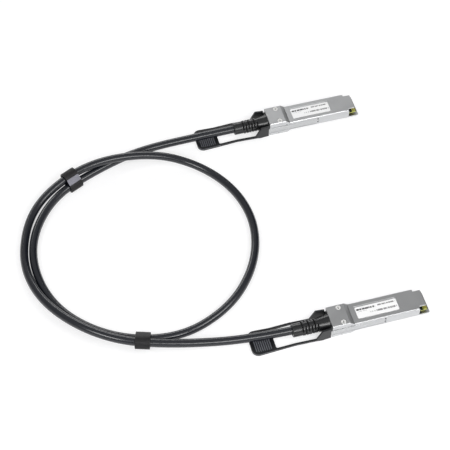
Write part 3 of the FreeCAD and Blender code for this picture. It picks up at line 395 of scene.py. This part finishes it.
def woven_band(name, warp, weft, threads):
    """Woven polyester: a close plain weave, drawn about twice its real thread so that it shows."""
    material, tree, shader = new_material(name, {"Roughness": 0.5, "IOR": 1.4})
    sheet = add_node(tree, "ShaderNodeTexCoord").outputs["UV"]
    count = add_node(tree, "ShaderNodeMapping", {"Vector": sheet, "Scale": (*threads, 1.0)})
    weave = add_node(tree, "ShaderNodeTexChecker", {"Vector": count.outputs["Vector"], "Scale": 1.0})
    # The dye is uneven over every three threads or so.
    uneven = add_node(tree, "ShaderNodeTexNoise",
                      {"Vector": count.outputs["Vector"], "Scale": 0.35, "Detail": 2.0})
    shade = add_node(tree, "ShaderNodeMath", {0: weave.outputs["Fac"], 1: uneven.outputs["Fac"]},
                     operation="MULTIPLY")
    tint = add_node(tree, "ShaderNodeMix",
                    {"Factor": shade.outputs["Value"], "A": linear(warp), "B": linear(weft)},
                    data_type="RGBA")
    tree.links.new(tint.outputs["Result"], shader.inputs["Base Color"])
    bump = add_node(tree, "ShaderNodeBump",
                    {"Strength": 0.4, "Distance": 0.08 * MM, "Height": weave.outputs["Fac"]})
    tree.links.new(bump.outputs["Normal"], shader.inputs["Normal"])
    return material


def label_film(plug):
    """White polyester film with plain bars of black print, which stand for lines of text."""
    material, tree, shader = new_material("label_film_" + plug, {"Roughness": 0.4, "IOR": 1.5})
    low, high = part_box("label_" + plug)
    place = add_node(tree, "ShaderNodeTexCoord").outputs["Object"]
    local = add_node(tree, "ShaderNodeVectorMath", {0: place, 1: (low.x, high.y, 0.0)},
                     operation="SUBTRACT")
    axes = add_node(tree, "ShaderNodeSeparateXYZ", {"Vector": local.outputs["Vector"]})
    along = axes.outputs["X"]
    across = add_node(tree, "ShaderNodeMath", {0: axes.outputs["Y"], 1: -1.0},
                      operation="MULTIPLY").outputs["Value"]
    # Each bar is broken across its length, as words are.
    breaks = add_node(tree, "ShaderNodeTexNoise",
                      {"W": along, "Scale": per_metre(0.909 * MM), "Detail": 1.0},
                      noise_dimensions="1D").outputs["Fac"]
    shade = None
    for start, end, top, bottom, weight, cut in PRINT_BARS:
        spans = [add_node(tree, "ShaderNodeMath",
                          {0: way, 1: (near + far) / 2 * MM, 2: (far - near) / 2 * MM},
                          operation="COMPARE").outputs["Value"]
                 for way, near, far in ((along, start, end), (across, top, bottom))]
        bar = add_node(tree, "ShaderNodeMath", {0: spans[0], 1: spans[1]},
                       operation="MULTIPLY").outputs["Value"]
        solid = add_node(tree, "ShaderNodeMath", {0: breaks, 1: cut},
                         operation="GREATER_THAN").outputs["Value"]
        inked = add_node(tree, "ShaderNodeMath", {0: solid, 1: weight},
                         operation="MULTIPLY").outputs["Value"]
        mark = add_node(tree, "ShaderNodeMath", {0: bar, 1: inked},
                        operation="MULTIPLY").outputs["Value"]
        shade = mark if shade is None else add_node(
            tree, "ShaderNodeMath", {0: shade, 1: mark}, operation="MAXIMUM").outputs["Value"]
    tint = add_node(tree, "ShaderNodeMix",
                    {"Factor": shade, "A": linear("#EFEFEF"), "B": linear("#26262A")}, data_type="RGBA")
    tree.links.new(tint.outputs["Result"], shader.inputs["Base Color"])
    return material


def laminate_card(plug):
    """Glass laminate under near black solder mask, bare and yellow green at the front and edges."""
    material, tree, shader = new_material("laminate_card_" + plug, {"Roughness": 0.35, "IOR": 1.5})
    low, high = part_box("paddle_card_" + plug)
    place = add_node(tree, "ShaderNodeTexCoord").outputs["Object"]
    axes = add_node(tree, "ShaderNodeSeparateXYZ", {"Vector": place})
    bare = add_node(tree, "ShaderNodeMath", {0: axes.outputs["X"], 1: high.x - MASK_SETBACK},
                    operation="GREATER_THAN").outputs["Value"]
    edge = add_node(tree, "ShaderNodeMath",
                    {0: axes.outputs["Z"], 1: (low.z + high.z) / 2, 2: CARD_EDGE_REACH},
                    operation="COMPARE").outputs["Value"]
    # The glass cloth shows through the resin in patches.
    fibre = add_node(tree, "ShaderNodeTexNoise",
                     {"Vector": place, "Scale": per_metre(1.43 * MM)}).outputs["Fac"]
    laminate = add_node(tree, "ShaderNodeMix",
                        {"Factor": fibre, "A": linear("#8E9440"), "B": linear("#B9BD6A")},
                        data_type="RGBA").outputs["Result"]
    shown = add_node(tree, "ShaderNodeMath", {0: bare, 1: edge}, operation="MAXIMUM").outputs["Value"]
    masked = add_node(tree, "ShaderNodeMix", {"Factor": shown, "A": linear("#1B211C"), "B": laminate},
                      data_type="RGBA").outputs["Result"]
    lip = add_node(tree, "ShaderNodeMath", {0: axes.outputs["X"], 1: high.x - LIP_LENGTH},
                   operation="GREATER_THAN").outputs["Value"]
    tint = add_node(tree, "ShaderNodeMix", {"Factor": lip, "A": masked, "B": linear("#55564A")},
                    data_type="RGBA")
    tree.links.new(tint.outputs["Result"], shader.inputs["Base Color"])
    return material


def gold_plate():
    """Hard gold on the contact fingers: a pale yellow shine, wiped unevenly."""
    material, tree, shader = new_material("gold_plate", {"Base Color": linear("#D2C668"), "Metallic": 1.0})
    place = add_node(tree, "ShaderNodeTexCoord").outputs["Object"]
    haze = add_node(tree, "ShaderNodeTexNoise", {"Vector": place, "Scale": per_metre(2.0 * MM)})
    rough = add_node(tree, "ShaderNodeMapRange",
                     {"Value": haze.outputs["Fac"], "To Min": 0.18, "To Max": 0.34})
    tree.links.new(rough.outputs["Result"], shader.inputs["Roughness"])
    return material


def polyester_foil():
    """The silvery foil wrapped round each pair, with its laps."""
    material, tree, shader = new_material(
        "polyester_foil", {"Base Color": linear("#B8BCC4"), "Metallic": 1.0, "Roughness": 0.3})
    place = add_node(tree, "ShaderNodeTexCoord").outputs["Object"]
    # A wave texture draws 3.2 bands in each unit of its scale, so the laps come 2 mm apart.
    lap = add_node(tree, "ShaderNodeTexWave",
                   {"Vector": place, "Scale": per_metre(6.25 * MM), "Distortion": 2.0})
    bump = add_node(tree, "ShaderNodeBump",
                    {"Strength": 0.3, "Distance": 0.05 * MM, "Height": lap.outputs["Fac"]})
    tree.links.new(bump.outputs["Normal"], shader.inputs["Normal"])
    return material


def epoxy_package():
    """Black moulding compound of the memory chip: matt, with a sandy grain."""
    material, tree, shader = new_material(
        "epoxy_package", {"Base Color": linear("#1A1A1A"), "Roughness": 0.6})
    place = add_node(tree, "ShaderNodeTexCoord").outputs["Object"]
    grain = add_node(tree, "ShaderNodeTexNoise", {"Vector": place, "Scale": per_metre(0.333 * MM)})
    bump = add_node(tree, "ShaderNodeBump",
                    {"Strength": 0.3, "Distance": 0.03 * MM, "Height": grain.outputs["Fac"]})
    tree.links.new(bump.outputs["Normal"], shader.inputs["Normal"])
    return material


# ------------------------------------------------------------------------------ studio

def point_at(item, place, aim):
    """Put a camera or a lamp at a place and turn it to look at another."""
    item.location = place
    item.rotation_euler = (aim - item.location).to_track_quat("-Z", "Y").to_euler()


def camera():
    """The camera, in front of the plugs and above them."""
    data = bpy.data.cameras.new("camera")
    data.lens = CAMERA_LENS
    data.sensor_width = CAMERA_SENSOR
    item = bpy.data.objects.new("camera", data)
    bpy.context.scene.collection.objects.link(item)
    point_at(item, CAMERA_PLACE, CAMERA_AIM)
    bpy.context.scene.camera = item


def lamp(name, place, size, watts):
    """A soft panel that faces the object."""
    light = bpy.data.lights.new(name, "AREA")
    light.shape = "RECTANGLE"
    light.size, light.size_y = size
    light.energy = watts
    item = bpy.data.objects.new(name, light)
    bpy.context.scene.collection.objects.link(item)
    point_at(item, place, LAMP_AIM)


def white_paper():
    """White paper: seen directly it is lifted to white, and it still takes the object's shadow."""
    material, tree, shader = new_material(
        "paper_floor", {"Roughness": 0.9, "Emission Color": linear("#FFFFFF")})
    path = add_node(tree, "ShaderNodeLightPath").outputs
    seen = add_node(tree, "ShaderNodeMath", {0: path["Is Camera Ray"], 1: path["Is Glossy Ray"]},
                    operation="MAXIMUM").outputs["Value"]
    seen = add_node(tree, "ShaderNodeMath", {0: seen, 1: path["Is Transmission Ray"]},
                    operation="MAXIMUM").outputs["Value"]
    tint = add_node(tree, "ShaderNodeMix",
                    {"Factor": seen, "A": linear("#F4F4F5"), "B": linear("#B0B0B1")}, data_type="RGBA")
    tree.links.new(tint.outputs["Result"], shader.inputs["Base Color"])
    lift = add_node(tree, "ShaderNodeMath", {0: seen, 1: FLOOR_LIFT}, operation="MULTIPLY")
    tree.links.new(lift.outputs["Value"], shader.inputs["Emission Strength"])
    return material


def room():
    """The room round the object: its brightness by height, with one dark corner."""
    world = bpy.data.worlds.new("studio")
    bpy.context.scene.world = world
    world.use_nodes = True
    tree = world.node_tree
    way = add_node(tree, "ShaderNodeTexCoord").outputs["Generated"]
    height = add_node(tree, "ShaderNodeSeparateXYZ", {"Vector": way}).outputs["Z"]
    ramp = add_node(tree, "ShaderNodeValToRGB", {"Fac": height})
    elements = ramp.color_ramp.elements
    for number, (stop, value) in enumerate(ROOM_LIGHT):
        element = elements[number] if number < 2 else elements.new(stop)
        element.position = stop
        element.color = (value, value, value, 1.0)
    toward = add_node(tree, "ShaderNodeVectorMath", {0: way, 1: DARK_CORNER}, operation="DOT_PRODUCT")
    share = add_node(tree, "ShaderNodeMapRange",
                     {"Value": toward.outputs["Value"], "From Min": DARK_EDGE[0], "From Max": DARK_EDGE[1],
                      "To Min": 1.0, "To Max": DARK_SHARE}, interpolation_type="SMOOTHSTEP")
    tree.links.new(ramp.outputs["Color"], tree.nodes["Background"].inputs["Color"])
    tree.links.new(share.outputs["Result"], tree.nodes["Background"].inputs["Strength"])


def studio():
    """A white floor and soft light, the most of it from the front."""
    deselect_all()
    bpy.ops.mesh.primitive_plane_add(size=FLOOR_SIZE)
    floor = bpy.context.object
    floor.name = "floor"
    paint(floor, white_paper())
    room()
    for panel in LAMPS:
        lamp(*panel)
    bpy.context.scene.view_settings.view_transform = "Standard"


# ------------------------------------------------------------------------------ pieces

def cable(material):
    """The jacket, on one smooth line through both plugs' boots."""
    curve = bpy.data.curves.new("cable_jacket", "CURVE")
    curve.dimensions = "3D"
    line = curve.splines.new("NURBS")
    line.points.add(len(CABLE_ROUTE) - 1)
    for point, place in zip(line.points, CABLE_ROUTE):
        point.co = (*place, 1.0)
    line.order_u = 3
    line.use_endpoint_u = True
    curve.resolution_u = 16
    curve.bevel_depth = CABLE_DIAMETER / 2
    curve.bevel_resolution = 8
    curve.use_fill_caps = True
    piece = bpy.data.objects.new("cable_jacket", curve)
    bpy.context.scene.collection.objects.link(piece)
    paint(piece, material)
    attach(piece, FIXED)
    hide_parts("cable")
    return piece


def finished_copy(node, name, material, body, edge_break=0.0, segments=2):
    """A CAD node's own form with its facets joined and its edges broken."""
    piece = bpy.data.objects.new(name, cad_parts[node].data.copy())
    bpy.context.scene.collection.objects.link(piece)
    take_up(piece)
    bpy.ops.object.mode_set(mode="EDIT")
    bpy.ops.mesh.select_all(action="SELECT")
    bpy.ops.mesh.remove_doubles(threshold=MERGE_DISTANCE)
    bpy.ops.mesh.dissolve_limited(angle_limit=FLAT_ANGLE)
    bpy.ops.object.mode_set(mode="OBJECT")
    if edge_break:
        bevel = piece.modifiers.new("edges", "BEVEL")
        bevel.width = edge_break
        bevel.segments = segments
        bevel.limit_method = "ANGLE"
        bevel.angle_limit = CREASE_ANGLE
        bpy.ops.object.modifier_apply(modifier="edges")
    bpy.ops.object.shade_smooth_by_angle(angle=CREASE_ANGLE)
    flats = piece.modifiers.new("flats", "WEIGHTED_NORMAL")
    flats.keep_sharp = True
    bpy.ops.object.modifier_apply(modifier="flats")
    paint(piece, material)
    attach(piece, body)
    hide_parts(node)
    return piece


def return_spring(side, plug, material):
    """The spring behind a latch arm, finished and given a mesh of its own."""
    node = "return_spring_%s_%s" % (side, plug)
    spring = finished_copy(node, "spring_%s_%s" % (side, plug), material, FIXED)
    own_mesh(spring)


def tie_place(runs):
    """Where a tie sits, as a matrix with X along the cable and Y across to the other run, and the spacing."""
    starts = [Vector(CABLE_ROUTE[run]) for run in runs]
    ends = [Vector(CABLE_ROUTE[run + 1]) for run in runs]
    middles = [(start + end) / 2 for start, end in zip(starts, ends)]
    along = ((ends[0] - starts[0]).normalized() + (ends[1] - starts[1]).normalized()).normalized()
    across = middles[1] - middles[0]
    across -= along * across.dot(along)
    spacing = across.length
    across.normalize()
    up = along.cross(across)
    if up.z < 0:
        along, up = -along, -up
    turned = Matrix((along, across, up)).transposed().to_4x4()
    return Matrix.Translation(middles[0]) @ turned, spacing


def settle(piece, place):
    """Put a piece that was made at the origin in its place, in its mesh."""
    take_up(piece)
    piece.matrix_world = place
    bpy.ops.object.transform_apply(location=True, rotation=True, scale=True)


def tie_band(node, runs, material):
    """A woven band wound round two runs of the cable."""
    place, spacing = tie_place(runs)
    deselect_all()
    bpy.ops.mesh.primitive_cylinder_add(vertices=TIE_SIDES, radius=TIE_INSIDE, depth=TIE_LENGTH,
                                        end_fill_type="NOTHING", rotation=(0.0, math.pi / 2, 0.0))
    piece = bpy.context.object
    piece.name = node + "_band"
    bpy.ops.object.transform_apply(location=True, rotation=True, scale=True)
    bpy.ops.object.mode_set(mode="EDIT")
    bpy.ops.mesh.select_all(action="SELECT")
    bpy.ops.transform.rotate(value=math.pi / TIE_SIDES, orient_axis="X", center_override=(0.0, 0.0, 0.0))
    # The half beyond the middle moves out to the other run, which leaves two flats between the round ends.
    bpy.ops.mesh.select_all(action="DESELECT")
    bpy.ops.object.mode_set(mode="OBJECT")
    for vertex in piece.data.vertices:
        vertex.select = vertex.co.y > 0
    for edge in piece.data.edges:
        edge.select = all(piece.data.vertices[end].select for end in edge.vertices)
    bpy.ops.object.mode_set(mode="EDIT")
    bpy.ops.transform.translate(value=(0.0, spacing, 0.0))
    bpy.ops.object.mode_set(mode="OBJECT")
    wall = piece.modifiers.new("wall", "SOLIDIFY")
    wall.thickness = TIE_WALL
    wall.offset = 1.0
    bpy.ops.object.modifier_apply(modifier="wall")
    hem = piece.modifiers.new("hem", "BEVEL")
    hem.width = TIE_HEM
    hem.segments = 3
    hem.limit_method = "ANGLE"
    hem.angle_limit = TIE_HEM_ANGLE
    bpy.ops.object.modifier_apply(modifier="hem")
    bpy.ops.object.shade_smooth_by_angle(angle=TIE_CREASE_ANGLE)
    settle(piece, place)
    bpy.ops.object.mode_set(mode="EDIT")
    bpy.ops.mesh.select_all(action="SELECT")
    bpy.ops.mesh.bisect(plane_co=(0.0, 0.0, TIE_CUT_HEIGHT), plane_no=(0.0, 0.0, 1.0),
                        use_fill=True, clear_inner=True)
    bpy.ops.object.mode_set(mode="OBJECT")
    paint(piece, material)
    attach(piece, FIXED)
    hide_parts(node)
    return piece


def tie_lap(node, runs, material):
    """The loose end of a band, pressed flat on it between the two runs, whose lighter weave is a painted
    sheen.
    """
    place, spacing = tie_place(runs)
    deselect_all()
    bpy.ops.mesh.primitive_cube_add(size=1.0)
    piece = bpy.context.object
    piece.name = node + "_lap"
    piece.scale = (TIE_LENGTH - LAP_SETBACK, LAP_WIDTH, LAP_THICKNESS)
    piece.location = (0.0, spacing / 2, TIE_INSIDE + TIE_WALL + LAP_LIFT)
    bpy.ops.object.transform_apply(location=True, rotation=True, scale=True)
    rim = piece.modifiers.new("rim", "BEVEL")
    rim.width = LAP_RIM
    rim.segments = 2
    bpy.ops.object.modifier_apply(modifier="rim")
    bpy.ops.object.shade_smooth_by_angle(angle=TIE_CREASE_ANGLE)
    settle(piece, place)
    paint(piece, material)
    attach(piece, FIXED)
    return piece


# ------------------------------------------------------------------------------ the object

camera()
studio()

jacket = cable(pvc_jacket())

steel = spring_steel()
screw = zinc_plated_screw()
gold = gold_plate()
foil = polyester_foil()
epoxy = epoxy_package()

for plug in PLUGS:
    latch = "latch_" + plug
    zinc = nickel_plated_zinc(plug)
    rubber = moulded_rubber(plug)
    nylon = moulded_nylon(plug)
    finished_copy("top_shell_" + plug, "cover_" + plug, zinc, FIXED, edge_break=0.08 * MM)
    finished_copy("bottom_shell_" + plug, "base_" + plug, zinc, FIXED, edge_break=0.08 * MM)
    finished_copy("boot_" + plug, "strain_relief_" + plug, rubber, FIXED,
                  edge_break=0.22 * MM, segments=3)
    finished_copy("pull_tab_" + plug, "tab_" + plug, nylon, latch, edge_break=0.25 * MM, segments=3)
    finished_copy("cover_screws_" + plug, "screws_" + plug, screw, FIXED, edge_break=0.06 * MM)
    for side in ("left", "right"):
        arm = "latch_arm_%s_%s" % (side, plug)
        finished_copy(arm, arm + "_strip", steel, latch, edge_break=0.05 * MM)
        return_spring(side, plug, steel)
    for node, material in (("paddle_card_", laminate_card(plug)), ("contact_pads_", gold),
                           ("memory_chip_", epoxy), ("crimp_ferrule_", steel), ("twinax_pairs_", foil),
                           ("label_", label_film(plug))):
        paint(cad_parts[node + plug], material)

dark_weave = woven_band("woven_polyester_black", "#0A0A0B", "#232225", BAND_THREADS)
# The lap's light grey weave is a painted sheen, for the light off the band's middle facet.
painted_sheen_weave = woven_band("woven_polyester_painted_sheen", "#77777F", "#A0A0AC", LAP_THREADS)
on_the_cable = [tie_band(node, runs, dark_weave) for node, runs in TIES.items()]
on_the_cable.append(tie_lap("tie_1", TIES["tie_1"], painted_sheen_weave))
